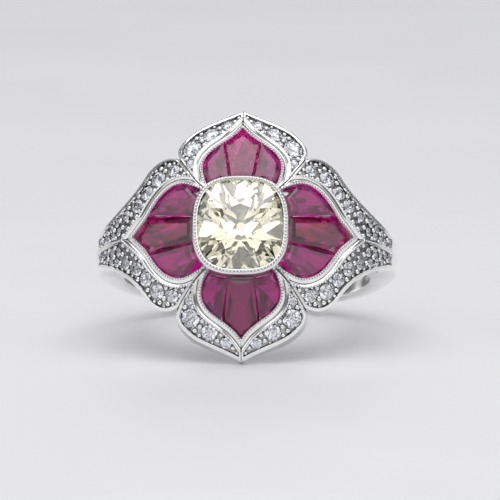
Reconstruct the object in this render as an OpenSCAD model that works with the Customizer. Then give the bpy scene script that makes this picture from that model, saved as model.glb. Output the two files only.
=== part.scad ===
// Ruby and diamond flower ring, lying on its side as a loose ring rests on a table.
//
// The ring is drawn in its own frame: the finger's axis is Y, the head is up at +Z,
// and the petals point to +Y (north), +X (east), -Y (south) and -X (west).
// at_rest() then lays it down on the south petal's tip and the shank's edge.
// Petal tables give two columns first: across the petal, then along it from the centre.

/* [Finger and shank] */
// Inside diameter of the finger hole
hole_d = 17.2; // [16.8:0.1:17.4]
// Width of the shank along the finger
shank_w = 2.1; // [1.8:0.1:2.2]
// Thickness of the shank at the back of the finger
shank_t = 1.3; // [1.1:0.1:1.5]

/* [Head] */
// Radius of the head's curve around the finger
head_r = 10.5; // [10.4:0.1:10.7]
// Height of that curve's centre above the finger's axis
head_rise = 1.7; // [1.6:0.1:1.9]
// Radius of the head's curve along the finger
bow_r = 15.5; // [15:0.5:18]
// Thickness of the head's plate
plate_t = 1.35; // [1.2:0.05:1.4]
// Thickness of the finger rails under the head
rail_t = 0.9; // [0.7:0.1:1]

/* [Rims and channels] */
// Width of the outer rim around each petal
outer_rim_w = 0.22; // [0.18:0.02:0.3]
// Width of the beaded rim around each petal's rubies
inner_rim_w = 0.2; // [0.15:0.05:0.25]
// Width of the bright groove outside the beaded rim
groove_w = 0.34; // [0.3:0.02:0.4]
// Depth of the bright groove
groove_depth = 0.12; // [0.08:0.02:0.16]
// Width of the thin line between the groove and the small diamonds
line_w = 0.1; // [0.08:0.02:0.14]
// Depth of the channels that hold the small diamonds
channel_depth = 0.22; // [0.18:0.02:0.3]
// Width of the ridges that part the channels
ridge_w = 0.3; // [0.2:0.05:0.4]

/* [Centre diamond] */
// Width of the centre diamond, east to west
diamond_w = 6.0; // [5.8:0.1:6.1]
// Length of the centre diamond, north to south
diamond_l = 6.3; // [6.1:0.1:6.4]
// Height of the collet's lip above the finger's axis
collet_top = 13.1; // [13:0.05:13.2]
// Thickness of the collet's wall
collet_wall = 0.28; // [0.24:0.02:0.32]

/* [Rubies and small diamonds] */
// Height of a ruby's table above its girdle
ruby_crown = 0.2; // [0.15:0.05:0.25]
// Depth of a ruby below its girdle
ruby_pavilion = 0.55; // [0.45:0.05:0.6]
// Width of the ledge under the rubies
ledge_w = 0.2; // [0.15:0.05:0.25]
// Clearance between a stone and its seat or neighbour
seat_gap = 0.04; // [0.03:0.01:0.05]

/* [Hidden] */
$fn = 96;
PETALS = ["north", "east", "south", "west"];
PLACES = [-1, 0, 1];

// Outer edge of the north petal's east half: across, along, from the tip to the notch
NORTH_EDGE = [[0, 8.85], [0.8, 8.48], [1.65, 8.1], [2.55, 7.7], [3.4, 7.22],
    [4.05, 6.62], [4.42, 6.0], [4.45, 5.55], [4.25, 5.15]];
// Outer edge of the east petal's north half: across, along, from the notch to the shoulder
EAST_EDGE = [[5.15, 4.25], [5.34, 4.75], [5.36, 5.35], [5.1, 5.95], [4.6, 6.5],
    [3.88, 7.0], [3.15, 7.6], [2.5, 8.3], [1.95, 9.0], [1.5, 9.7], [1.12, 10.3], [1.05, 10.8]];
// Edge of the rubies of a north or south petal: across, along, from the tip to the collet
NORTH_FIELD = [[0, 7.42], [0.36, 7.0], [0.85, 6.57], [1.32, 6.23], [1.95, 5.78],
    [2.42, 5.3], [2.68, 4.8], [2.73, 4.25], [2.6, 3.65], [2.35, 3.0]];
// Edge of the rubies of an east or west petal: across, along, from the tip to the collet
EAST_FIELD = [[0, 7.6], [0.45, 7.2], [0.92, 6.78], [1.35, 6.48], [1.95, 6.1],
    [2.5, 5.68], [3.0, 5.12], [3.28, 4.4], [3.2, 3.7], [2.75, 2.75]];
// Row of a field table where the middle ruby ends and a side ruby starts
field_split = 3;
girdle_sink = 0.05;
// Half width of a middle ruby where it meets the collet
split_in = 0.88;
// Line that parts a north and an east petal, from the notch to the collet
PARTING = [[4.6, 5.6], [4.0, 4.7], [3.5, 3.95], [3.0, 3.3], [2.4, 2.7]];
parting_side = [-0.21, 0.16];
// Inner edge of a side ruby: across, along as a part of the collet's reach
SIDE_RUBY_FOOT = [[2.15, 0.88], [1.6, 0.96]];
side_half = 9.6;
// Side of the shoulders: half width, height above the finger's axis
SHOULDER_SIDE = [[1.12, 2.4], [1.3, 3.1], [1.6, 3.8], [2.02, 4.4], [2.6, 4.85], [side_half, 5.2]];

// Small diamonds in half a north or south petal: across, along, diameter
NORTH_PAVE = [[3.52, 6.02, 1.34], [2.2, 7.0, 1.16], [1.05, 7.7, 0.84], [3.62, 4.9, 0.6]];
// Small diamonds in half an east or west petal: across, along, diameter
EAST_PAVE = [[4.47, 4.8, 0.92], [4.0, 5.9, 1.16], [3.08, 6.72, 1.04], [2.24, 7.4, 1.02]];
// Small diamonds in half a shoulder: across, degrees from the head's top, diameter
SHOULDER_PAVE = [[1.72, 52, 0.8], [0.72, 56.8, 0.64], [1.42, 58.5, 0.66], [0.56, 61.5, 0.6],
    [1.18, 63.2, 0.6], [0.5, 66, 0.56], [1.03, 67.6, 0.46], [0.48, 70.4, 0.52], [0.46, 74.6, 0.5]];

hole_r = hole_d / 2;
shank_r = hole_r + shank_t;
rail_r = hole_r + rail_t;
relief_depth = 0.25;
relief_r = hole_r + relief_depth;
band_w = inner_rim_w + groove_w + line_w;
collet_half = [diamond_w / 2 + seat_gap + collet_wall, diamond_l / 2 + seat_gap + collet_wall];
collet_bend = 2.7;
collet_foot = hole_r;
lip_h = 0.2;
lip_over = 0.08;
lip_clear = 0.1;
girdle_z = collet_top - lip_h - lip_clear;
diamond_crown = 0.9;
diamond_pavilion = 2.6;
seat_drop = 0.6;
throat = 0.8;
ledge_depth = 1;
petal_reach = NORTH_EDGE[0][1];
barrel_over = 0.35;
barrel_half = petal_reach + barrel_over;
channel_end = 10.2;
field_root = 2;
window_over = 0.1;
collet_sides = 40;
far = 40;

// Two points carry a ring at rest: the lower corner of the south tip and the shank's edge
lean = atan((petal_reach - shank_w / 2) / (relief_r + shank_r));
rest_drop = petal_reach * cos(lean) - relief_r * sin(lean);
front_y = -collet_top * cos(lean) - collet_half[1] * sin(lean);
back_y = shank_r * cos(lean) + shank_w / 2 * sin(lean);

module at_rest() {
    translate([0, -(front_y + back_y) / 2, rest_drop]) rotate([90 - lean, 0, 0]) children();
}

// The dome: a barrel around the finger, bowed along it
function barrel_r(y) = head_r - bow_r + sqrt(bow_r * bow_r - y * y);
function dome_z(x, y) = head_rise + sqrt(pow(barrel_r(y), 2) - x * x);
function unit(v) = v / norm(v);
function dome_normal(x, y) =
    unit([x / barrel_r(y), y / sqrt(bow_r * bow_r - y * y), (dome_z(x, y) - head_rise) / barrel_r(y)]);

// Smooth curve through the rows of a table
curve_steps = 3;
function row(rows, i) = rows[max(0, min(len(rows) - 1, i))];
function bend(a, b, c, d, t) =
    (2 * b + (c - a) * t + (2 * a - 5 * b + 4 * c - d) * t * t + (3 * b - a - 3 * c + d) * t * t * t) / 2;
function curve(rows) = concat(
    [for (i = [0:len(rows) - 2]) for (s = [0:curve_steps - 1])
        bend(row(rows, i - 1), row(rows, i), row(rows, i + 1), row(rows, i + 2), s / curve_steps)],
    [rows[len(rows) - 1]]);

// Lists of points
function back_to_front(list, last = 0) = [for (i = [len(list) - 1:-1:last]) list[i]];
function scaled(list, sx, sy) = [for (p = list) [p[0] * sx, p[1] * sy]];
function swapped(list) = [for (p = list) [p[1], p[0]]];
function both_halves(half) = concat(half, scaled(back_to_front(half, 1), -1, 1));
function middle(list, i = 0, sum = [0, 0]) =
    i == len(list) ? sum / len(list) : middle(list, i + 1, sum + list[i]);
function turn(list, i = 0) =
    i == len(list) ? 0 :
    let (a = list[i], b = list[(i + 1) % len(list)]) a[0] * b[1] - b[0] * a[1] + turn(list, i + 1);
function anticlockwise(list) = turn(list) > 0 ? list : back_to_front(list);

// Point of the collet's rounded square at an angle from +X
function cushion_point(half, angle) = [
    half[0] * sign(cos(angle)) * pow(abs(cos(angle)), 2 / collet_bend),
    half[1] * sign(sin(angle)) * pow(abs(sin(angle)), 2 / collet_bend)];
function cushion(half, sides) = [for (i = [0:sides - 1]) cushion_point(half, (i + 0.5) * 360 / sides)];

// Petals: a petal's own across and along turned to plan x and y
function to_plan(petal, p) =
    petal == "north" ? [p[0], p[1]] :
    petal == "south" ? [-p[0], -p[1]] :
    petal == "east" ? [p[1], -p[0]] : [-p[1], p[0]];
function is_long(petal) = petal == "east" || petal == "west";
function field_rows(petal) = is_long(petal) ? EAST_FIELD : NORTH_FIELD;

// Plan outline of one ruby in its petal: place is -1 left, 0 middle or 1 right
function ruby_plan(petal, place) = let (
        rows = field_rows(petal),
        last = len(rows) - 2,
        edge = place == 0 ? [for (i = [0:field_split]) rows[i]] : [for (i = [field_split:last]) rows[i]],
        reach = is_long(petal) ? collet_half[0] : collet_half[1],
        foot = place == 0 ? [] : [for (p = SIDE_RUBY_FOOT) [p[0], p[1] * reach]],
        half = concat(edge, foot, [[split_in, reach]]),
        outline = place == 0 ? both_halves(half) : scaled(half, place, 1))
    anticlockwise([for (p = outline) to_plan(petal, p)]);

// An outline with every edge moved inwards by gap
function left_of(a, b) = unit([a[1] - b[1], b[0] - a[0]]);
function inset(list, gap) = [for (i = [0:len(list) - 1]) let (
        n = len(list),
        before = left_of(list[(i + n - 1) % n], list[i]),
        after = left_of(list[i], list[(i + 1) % n]))
    list[i] + gap * (before + after) / (1 + before * after)];

module flower_2d() {
    quarter = concat(curve(NORTH_EDGE), swapped(curve(EAST_EDGE)));
    polygon(concat(quarter, scaled(back_to_front(quarter), 1, -1),
        scaled([for (i = [1:len(quarter) - 1]) quarter[i]], -1, -1),
        scaled(back_to_front(quarter, 1), -1, 1)));
}

module field_2d(petal) {
    half = concat(curve(field_rows(petal)), [[0, field_root]]);
    polygon([for (p = both_halves(half)) to_plan(petal, p)]);
}

module collet_2d(grow = 0) {
    polygon(cushion([collet_half[0] + grow, collet_half[1] + grow], collet_sides));
}

module fields_2d(grow) {
    for (petal = PETALS) offset(delta = grow) field_2d(petal);
}

// Strips that part the petals, from each notch to the collet
module partings_2d() {
    line = curve(PARTING);
    strip = concat([for (p = line) p + parting_side], back_to_front([for (p = line) p - parting_side]));
    for (sx = [-1, 1]) for (sy = [-1, 1]) polygon(scaled(strip, sx, sy));
}

// Ridges along the north and south tips and along the shoulders
module ridges_2d() {
    square([ridge_w, far], center = true);
    square([far, ridge_w], center = true);
}

// Channels for the small diamonds, between the outer rims and the thin lines
module channels_2d() {
    difference() {
        intersection() {
            offset(delta = -outer_rim_w) flower_2d();
            square([2 * channel_end, far], center = true);
        }
        fields_2d(band_w);
        collet_2d(band_w);
        partings_2d();
        ridges_2d();
    }
}

// Bright grooves between the beaded rims and the thin lines
module grooves_2d() {
    difference() {
        fields_2d(inner_rim_w + groove_w);
        fields_2d(inner_rim_w);
        collet_2d(inner_rim_w);
        partings_2d();
    }
}

// Everything under the dome when it is lowered by drop
module barrel(drop = 0) {
    bands = 12;
    edge = [for (i = [0:bands]) let (y = barrel_half * (2 * i / bands - 1)) [barrel_r(y) - drop, y]];
    translate([0, 0, head_rise]) rotate([90, 0, 0]) rotate_extrude()
        polygon(concat([[0, -barrel_half]], edge, [[0, barrel_half]]));
}

module along_finger(r, length) {
    rotate([90, 0, 0]) cylinder(r = r, h = length, center = true);
}

// Outline of the ring seen along X
module side_block() {
    half = concat([[shank_w / 2, -far], [shank_w / 2, head_rise]], SHOULDER_SIDE, [[side_half, far]]);
    rotate([90, 0, 90]) linear_extrude(height = far, center = true) polygon(both_halves(half));
}

module gallery_2d() {
    square([far, shank_w], center = true);
    circle(r = collet_half[0]);
}

module gallery_rails() {
    intersection() {
        along_finger(rail_r, far);
        linear_extrude(height = far) gallery_2d();
    }
}

// The hollow between the head's plate and the finger rails
module head_hollow() {
    difference() {
        intersection() {
            barrel(plate_t);
            translate([-far / 2, -far / 2, head_rise]) cube(far);
        }
        gallery_rails();
    }
}

// A cut into the dome of the given depth and outline
module sunk(depth) {
    difference() {
        translate([0, 0, head_rise]) linear_extrude(height = far) children();
        barrel(depth);
    }
}

module collet_blank() {
    translate([0, 0, collet_foot]) linear_extrude(height = collet_top - collet_foot) collet_2d();
}

// Room for the diamond under the lip, and a throat that leaves a ledge under its girdle
module collet_hole() {
    room = [diamond_w / 2 + seat_gap, diamond_l / 2 + seat_gap];
    room_floor = girdle_z - seat_drop;
    room_top = collet_top - lip_h;
    translate([0, 0, room_floor]) linear_extrude(height = room_top - room_floor)
        polygon(cushion(room, collet_sides));
    translate([0, 0, room_floor]) linear_extrude(height = far)
        polygon(cushion(room - [lip_over, lip_over], collet_sides));
    linear_extrude(height = far) polygon(cushion(room * throat, collet_sides));
}

module ring_blank() {
    difference() {
        intersection() {
            union() {
                barrel();
                along_finger(shank_r, far);
            }
            linear_extrude(height = far, center = true) flower_2d();
            side_block();
        }
        head_hollow();
        difference() {
            along_finger(relief_r, far);
            linear_extrude(height = far, center = true) gallery_2d();
        }
    }
}

// Each petal's window for its rubies, with a ledge and bars left under their edges
module ruby_windows() {
    sunk(ledge_depth) difference() {
        fields_2d(0);
        collet_2d();
    }
    sunk(plate_t + window_over) for (petal = PETALS) for (place = PLACES)
        polygon(inset(ruby_plan(petal, place), ledge_w));
}

module mount() {
    color("gainsboro") at_rest() difference() {
        union() {
            ring_blank();
            collet_blank();
        }
        collet_hole();
        ruby_windows();
        sunk(channel_depth) channels_2d();
        sunk(groove_depth) grooves_2d();
        for (petal = PETALS) each_pave(petal) pave_seat($size);
        along_finger(hole_r, far);
    }
}

// Rings of points joined into a closed stone, lowest ring first
module faceted(rings) {
    n = len(rings[0]);
    top = len(rings) - 1;
    points = [for (ring = rings) for (p = ring) p];
    sides = [for (k = [0:top - 1]) for (i = [0:n - 1])
        let (j = (i + 1) % n) [k * n + i, (k + 1) * n + i, (k + 1) * n + j, k * n + j]];
    polyhedron(points, concat([[for (i = [0:n - 1]) i]], sides,
        [[for (i = [n - 1:-1:0]) top * n + i]]), convexity = 4);
}

// Height of plan point p on the plane through base with normal n
function plane_z(base, n, p) = base[2] - ((p[0] - base[0]) * n[0] + (p[1] - base[1]) * n[1]) / n[2];
function shrunk(list, c, k) = [for (p = list) c + (p - c) * k];

// A step-cut stone that lies along the dome, sunk until its girdle is below the metal
module ruby(petal, place) {
    plan = inset(ruby_plan(petal, place), seat_gap);
    c = middle(plan);
    n = dome_normal(c[0], c[1]);
    base = [c[0], c[1], dome_z(c[0], c[1])];
    sink = girdle_sink + max([for (p = plan) plane_z(base, n, p) - dome_z(p[0], p[1])]);
    // Size of each ring against the outline, and its height above the girdle
    rings = [[0.35, -ruby_pavilion], [1, -0.08], [1, 0], [0.84, 0.75 * ruby_crown], [0.7, ruby_crown]];
    color("crimson") at_rest() faceted([for (ring = rings)
        [for (p = shrunk(plan, c, ring[0])) [p[0], p[1], plane_z(base, n, p) + ring[1] - sink]]]);
}

module centre_diamond() {
    half = [diamond_w / 2, diamond_l / 2];
    // Size of each ring against the girdle, and its height above the girdle
    rings = [[0.12, -diamond_pavilion], [0.6, -0.42 * diamond_pavilion], [1, -0.06], [1, 0.02],
        [0.8, 0.6 * diamond_crown], [0.56, diamond_crown]];
    color("ivory") at_rest() translate([0, 0, girdle_z])
        faceted([for (ring = rings) [for (p = cushion(half * ring[0], 16)) [p[0], p[1], ring[1]]]]);
}

// Small diamonds of one petal's halves and shoulder: plan x, plan y, diameter
function pave_rows(petal) = concat(
    is_long(petal) ? EAST_PAVE : NORTH_PAVE,
    is_long(petal) ? [for (s = SHOULDER_PAVE) [s[0], barrel_r(s[0]) * sin(s[1]), s[2]]] : []);

module each_pave(petal) {
    for (side = [-1, 1]) for (s = pave_rows(petal)) {
        p = to_plan(petal, [side * s[0], s[1]]);
        n = dome_normal(p[0], p[1]);
        $size = s[2];
        translate([p[0], p[1], dome_z(p[0], p[1])]) rotate([0, acos(n[2]), atan2(n[1], n[0])])
            translate([0, 0, -pave_sink]) children();
    }
}

pave_sink = 0.16;
pave_sides = 8;
// Depth of a small diamond and height of its crown, as parts of its diameter
pave_depth = 0.4;
pave_crown = 0.15;
pave_over = 1;

module pave_stone(d) {
    rings = [[0.05, -pave_depth * d], [0.5, -0.03], [0.5, 0], [0.3, pave_crown * d]];
    faceted([for (ring = rings) [for (i = [0:pave_sides - 1])
        let (a = (i + 0.5) * 360 / pave_sides) [d * ring[0] * cos(a), d * ring[0] * sin(a), ring[1]]]]);
}

module pave_seat(d) {
    translate([0, 0, -pave_depth * d - seat_gap]) rotate([0, 0, 180 / pave_sides])
        cylinder(d = d + 2 * seat_gap, h = pave_depth * d + pave_over, $fn = pave_sides);
}

module pave(petal) {
    color("white") at_rest() each_pave(petal) pave_stone($size);
}

mount();
centre_diamond();
ruby("north", -1);  // ruby_north_left
ruby("north", 0);  // ruby_north_middle
ruby("north", 1);  // ruby_north_right
ruby("east", -1);  // ruby_east_left
ruby("east", 0);  // ruby_east_middle
ruby("east", 1);  // ruby_east_right
ruby("south", -1);  // ruby_south_left
ruby("south", 0);  // ruby_south_middle
ruby("south", 1);  // ruby_south_right
ruby("west", -1);  // ruby_west_left
ruby("west", 0);  // ruby_west_middle
ruby("west", 1);  // ruby_west_right
pave("north");  // pave_north
pave("east");  // pave_east
pave("south");  // pave_south
pave("west");  // pave_west
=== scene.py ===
from math import asin, atan, atan2, cos, degrees, exp, hypot, log, pi, radians, sin, sqrt

import bmesh
import bpy
import numpy as np
from mathutils import Matrix, Vector
from mathutils.geometry import delaunay_2d_cdt

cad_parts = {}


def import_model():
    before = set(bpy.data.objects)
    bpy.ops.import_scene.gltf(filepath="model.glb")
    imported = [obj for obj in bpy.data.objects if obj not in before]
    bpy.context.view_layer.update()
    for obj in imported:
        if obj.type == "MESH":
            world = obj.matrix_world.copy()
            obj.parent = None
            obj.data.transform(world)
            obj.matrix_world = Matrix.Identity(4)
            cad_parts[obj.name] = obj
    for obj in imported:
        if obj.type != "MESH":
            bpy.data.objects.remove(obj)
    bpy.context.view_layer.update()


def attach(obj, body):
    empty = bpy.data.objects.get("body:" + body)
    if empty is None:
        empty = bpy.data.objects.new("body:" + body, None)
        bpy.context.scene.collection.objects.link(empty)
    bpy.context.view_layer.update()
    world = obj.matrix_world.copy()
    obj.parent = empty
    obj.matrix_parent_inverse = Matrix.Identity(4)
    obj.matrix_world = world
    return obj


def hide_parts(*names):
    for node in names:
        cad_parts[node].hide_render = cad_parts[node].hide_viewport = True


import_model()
scene = bpy.context.scene

# The ring is built in its own frame in mm: the finger's axis is Y and the head is up at +Z.
# TO_REST lays it on its side and turns mm to metres. A quarter of the head is drawn and mirrored.
MM = 0.001
HOLE_R = 8.6
SHANK_R = HOLE_R + 1.3
SHANK_HALF = 1.05
RELIEF_R = HOLE_R + 0.25
RAIL_R = HOLE_R + 0.9
HEAD_R = 10.5
HEAD_RISE = 1.7
BOW_R = 15.5
PLATE_T = 1.35
LEDGE_T = 1.0
LEDGE_W = 0.2
OUTER_RIM = 0.22
INNER_RIM = 0.2
GROOVE_W = 0.34
LINE_W = 0.1
BAND_W = INNER_RIM + GROOVE_W + LINE_W
CHANNEL_D = 0.22
CHANNEL_END = 10.2
CHANNEL_REACH = 0.9
RIDGE_HALF = 0.15
PARTING_HALF = 0.19
STONE_GAP = 0.04
DIAMOND = np.array([3.0, 3.15])
DIAMOND_ROOM = DIAMOND + STONE_GAP
COLLET_WALL = 0.28
COLLET = DIAMOND_ROOM + COLLET_WALL
COLLET_BEND = 2.7
COLLET_TOP = 13.1
ROOM_FLOOR = 12.2
GIRDLE_Z = 12.8
THROAT = 0.8
RUBY_SINK = 0.05
RUBY_GAP = 0.015
PAVE_SINK = 0.16

# Outlines and stones as in the solids. Columns: across the petal, along it from the centre
NORTH_EDGE = [(0, 8.85), (0.8, 8.48), (1.65, 8.1), (2.55, 7.7), (3.4, 7.22), (4.05, 6.62),
              (4.42, 6.0), (4.45, 5.55), (4.25, 5.15)]
EAST_EDGE = [(5.15, 4.25), (5.34, 4.75), (5.36, 5.35), (5.1, 5.95), (4.6, 6.5), (3.88, 7.0),
             (3.15, 7.6), (2.5, 8.3), (1.95, 9.0), (1.5, 9.7), (1.12, 10.3), (1.05, 10.8)]
NORTH_FIELD = [(0, 7.42), (0.36, 7.0), (0.85, 6.57), (1.32, 6.23), (1.95, 5.78), (2.42, 5.3),
               (2.68, 4.8), (2.73, 4.25), (2.6, 3.65), (2.35, 3.0)]
EAST_FIELD = [(0, 7.6), (0.45, 7.2), (0.92, 6.78), (1.35, 6.48), (1.95, 6.1), (2.5, 5.68), (3.0, 5.12),
              (3.28, 4.4), (3.2, 3.7), (2.75, 2.75)]
FIELD_ROOT = (2.2, 2.6)
PARTING = [(4.6, 5.6), (4.0, 4.7), (3.5, 3.95), (3.0, 3.3), (2.4, 2.7)]
FIELD_SPLIT = 3
SPLIT_IN = 0.88
SIDE_FOOT = [(2.15, 0.88), (1.6, 0.96)]
# Columns: across, along, diameter
NORTH_PAVE = [(3.52, 6.02, 1.34), (2.2, 7.0, 1.16), (1.05, 7.7, 0.84), (3.62, 4.9, 0.6)]
EAST_PAVE = [(4.47, 4.8, 0.92), (4.0, 5.9, 1.16), (3.08, 6.72, 1.04), (2.24, 7.4, 1.02)]
# Columns: across, degrees from the head's top, diameter
SHOULDER_PAVE = [(1.72, 52, 0.8), (0.72, 56.8, 0.64), (1.42, 58.5, 0.66), (0.56, 61.5, 0.6),
                 (1.18, 63.2, 0.6), (0.5, 66, 0.56), (1.03, 67.6, 0.46), (0.48, 70.4, 0.52),
                 (0.46, 74.6, 0.5)]
QUARTERS = [(1, 1), (-1, 1), (-1, -1), (1, -1)]

REACH = NORTH_EDGE[0][1]
LEAN = atan((REACH - SHANK_HALF) / (RELIEF_R + SHANK_R))
DROP = REACH * cos(LEAN) - RELIEF_R * sin(LEAN)
FRONT = -COLLET_TOP * cos(LEAN) - COLLET[1] * sin(LEAN)
BACK = SHANK_R * cos(LEAN) + SHANK_HALF * sin(LEAN)
TURN_DOWN = Matrix.Rotation(pi / 2 - LEAN, 4, "X")
LAY_DOWN = Matrix.Translation((0, -(FRONT + BACK) / 2, DROP)) @ TURN_DOWN
TO_REST = Matrix.Scale(MM, 4) @ LAY_DOWN


# Lines in the plan

def run_along(line):
    """Distance of each of a line's points from its start, along the line."""
    return np.r_[0, np.cumsum(np.linalg.norm(np.diff(line, axis=0), axis=1))]


def even(line, step):
    run = run_along(line)
    at = np.linspace(0, run[-1], max(2, int(round(run[-1] / step)) + 1))
    return np.stack([np.interp(at, run, line[:, i]) for i in range(line.shape[1])], 1)


def curve(rows, step, first=0, last=None):
    """Catmull-Rom curve through a table's rows, from row first to row last."""
    p = np.array(rows, float)
    q = np.vstack([p[0], p, p[-1]])
    t = np.linspace(0, 1, 24, endpoint=False)[:, None]
    last = len(p) - 1 if last is None else last
    parts = []
    for i in range(first, last):
        a, b, c, d = q[i:i + 4]
        parts.append((2 * b + (c - a) * t + (2 * a - 5 * b + 4 * c - d) * t ** 2
                      + (3 * b - a - 3 * c + d) * t ** 3) / 2)
    return even(np.vstack(parts + [p[last:last + 1]]), step)


def left_of(d):
    """Unit vectors to the left of directions."""
    d = d / np.linalg.norm(d, axis=1)[:, None]
    return np.stack([-d[:, 1], d[:, 0]], 1)


def left_normals(line):
    return left_of(np.gradient(line, axis=0))


def drawn_back(line, reach=1.4):
    """The line with its first end drawn on straight, so that its offsets meet in a mitre."""
    d = line[0] - line[2]
    return np.vstack([line[0] + d / np.linalg.norm(d) * reach, line])


def nearest(line, pts):
    """Each point's distance from a line, and its side: 1 is left."""
    a, ab = line[:-1], np.diff(line, axis=0)
    dist = np.empty(len(pts))
    side = np.empty(len(pts))
    batch = 4000
    for i in range(0, len(pts), batch):
        p = pts[i:i + batch, None, :]
        t = np.clip(((p - a) * ab).sum(2) / (ab ** 2).sum(1), 0, 1)
        gap = p - (a + t[..., None] * ab)
        d = np.sqrt((gap ** 2).sum(2))
        k = d.argmin(1)
        g = gap[np.arange(len(k)), k]
        dist[i:i + batch] = d[np.arange(len(k)), k]
        side[i:i + batch] = np.where(ab[k, 0] * g[:, 1] - ab[k, 1] * g[:, 0] >= 0, 1, -1)
    return dist, side


def inside(poly, pts):
    hit = np.zeros(len(pts), bool)
    for (ax, ay), (bx, by) in zip(poly, np.roll(poly, -1, 0)):
        if ay != by:
            span = (pts[:, 1] < ay) != (pts[:, 1] < by)
            hit ^= span & (pts[:, 0] < ax + (pts[:, 1] - ay) * (bx - ax) / (by - ay))
    return hit


def cushion(half, n, grow=0.0):
    """The collet's rounded square, grown by a constant distance."""
    a = (np.arange(n) + 0.5) * 2 * pi / n
    p = np.stack([half[i] * np.sign(f) * np.abs(f) ** (2 / COLLET_BEND)
                  for i, f in enumerate((np.cos(a), np.sin(a)))], 1)
    return p - grow * left_of(np.roll(p, -1, 0) - np.roll(p, 1, 0))


def inset(p, gaps):
    """A polygon with each side moved to its left by its own gap."""
    gaps = np.broadcast_to(gaps, len(p))
    n = left_of(np.roll(p, -1, 0) - p)
    out = []
    for i in range(len(p)):
        rows = np.stack([n[i - 1], n[i]])
        reach = np.array([n[i - 1] @ p[i] + gaps[i - 1], n[i] @ p[i] + gaps[i]])
        out.append(np.linalg.solve(rows, reach))
    return np.array(out)


def full_turn(n):
    return np.linspace(0, 2 * pi, n, endpoint=False)


def unit_circle(n):
    a = full_turn(n)
    return np.stack([np.cos(a), np.sin(a)], 1)


def plan_grid(xs, ys):
    return np.stack(np.meshgrid(xs, ys), -1).reshape(-1, 2)


def turns_left(p):
    q = np.roll(p, -1, 0)
    return (p[:, 0] * q[:, 1] - q[:, 0] * p[:, 1]).sum() > 0


def dense(poly, step=0.15):
    loop = np.vstack([poly, poly[:1]])
    return np.vstack([even(loop[i:i + 2], step)[:-1] for i in range(len(poly))])


def smooth_step(d, width):
    t = np.clip(d / width, 0, 1)
    return t * t * (3 - 2 * t)


def engraved(d, place, half, depth):
    """Depth at a distance d of a sharp-bottomed line with its middle at place."""
    return depth * np.clip(1 - np.abs(d - place) / half, 0, 1)


def dip(d, width, depth):
    """Depth of a hollow that runs out over a width."""
    return depth * (1 - smooth_step(d, width))


def edge_round(gap, width, drop):
    """How far a rounded edge has dropped at a distance in."""
    t = 1 - np.clip(gap / width, 0, 1)
    return drop * (1 - np.sqrt(1 - t ** 2))


# The lines of the head's first quarter
STEP = 0.085
FIELD_N = np.vstack([curve(NORTH_FIELD, STEP), FIELD_ROOT])
FIELD_E = np.vstack([curve(EAST_FIELD, STEP), FIELD_ROOT])[:, ::-1]
PART_LINE = curve(PARTING, STEP)
OUTLINE = np.vstack([curve(NORTH_EDGE, STEP), curve(EAST_EDGE, STEP)[1:, ::-1]])
FIELD_N_LONG = drawn_back(FIELD_N)
FIELD_E_LONG = drawn_back(FIELD_E)
FIELD_N_AREA = np.vstack([FIELD_N, [[0, 2], [-1, 2], [-1, 7.42]]])
FIELD_E_AREA = np.vstack([FIELD_E, [[2, 0], [2, -1], [7.6, -1]]])
HEAD_AREA = np.vstack([[-1, -1], [-1, REACH], OUTLINE, [10.8, -1]])
COLLET_EDGE = cushion(COLLET, 240)
COLLET_CUT_EDGE = cushion(COLLET, 240, -0.14)
COLLET_AREA = cushion(COLLET, 120)


def outside(line, area, q):
    """Distance from a line, negative inside its area."""
    return nearest(line, q)[0] * np.where(inside(area, q), -1, 1)


def off_field(q):
    """Distance outside the rubies' fields, with mitred tips."""
    return np.minimum(outside(FIELD_N_LONG, FIELD_N_AREA, q), outside(FIELD_E_LONG, FIELD_E_AREA, q))


def off_parting(q):
    """Distance from the line between the petals, positive on the north."""
    d, side = nearest(PART_LINE, q)
    return -d * side


def off_ring(ring, q):
    return nearest(np.vstack([ring, ring[:1]]), q)[0]


def off_collet(q):
    return off_ring(COLLET_EDGE, q) * np.where(inside(COLLET_EDGE, q), -1, 1)


def off_outline(q):
    return nearest(OUTLINE, q)[0]


# The relief's places, widths and depths
WALL_W = 0.07
RIM_TOP = 0.13
VALLEY = 0.36
VALLEY_END = BAND_W - LINE_W
VALLEY_RUN_OUT = 0.08
VALLEY_D = 0.13
FADE_W = 0.05
BEDS_END = 0.08
SEAM_START = 0.1
# Columns: distance from the rubies or the parting, half width, depth
BAND_LINE = (0.37, 0.03, 0.045)
SIDE_LINE = (0.15, 0.04, 0.04)
# Columns: width, depth
OUTER_ROUND = (0.09, 0.07)
BEAD_BED = (0.06, 0.05)
CREASE = (0.06, 0.1)
SEAM = (0.04, 0.05)


def channel_margin(q):
    """How far a point is inside the channels for the small diamonds."""
    part = off_parting(q)
    ridge = np.where(part > 0, q[:, 0], q[:, 1])
    return np.minimum.reduce([off_field(q) - BAND_W, off_outline(q) - OUTER_RIM,
                              np.abs(part) - PARTING_HALF, ridge - RIDGE_HALF,
                              off_collet(q) - BAND_W, CHANNEL_END - q[:, 0]])


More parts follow.
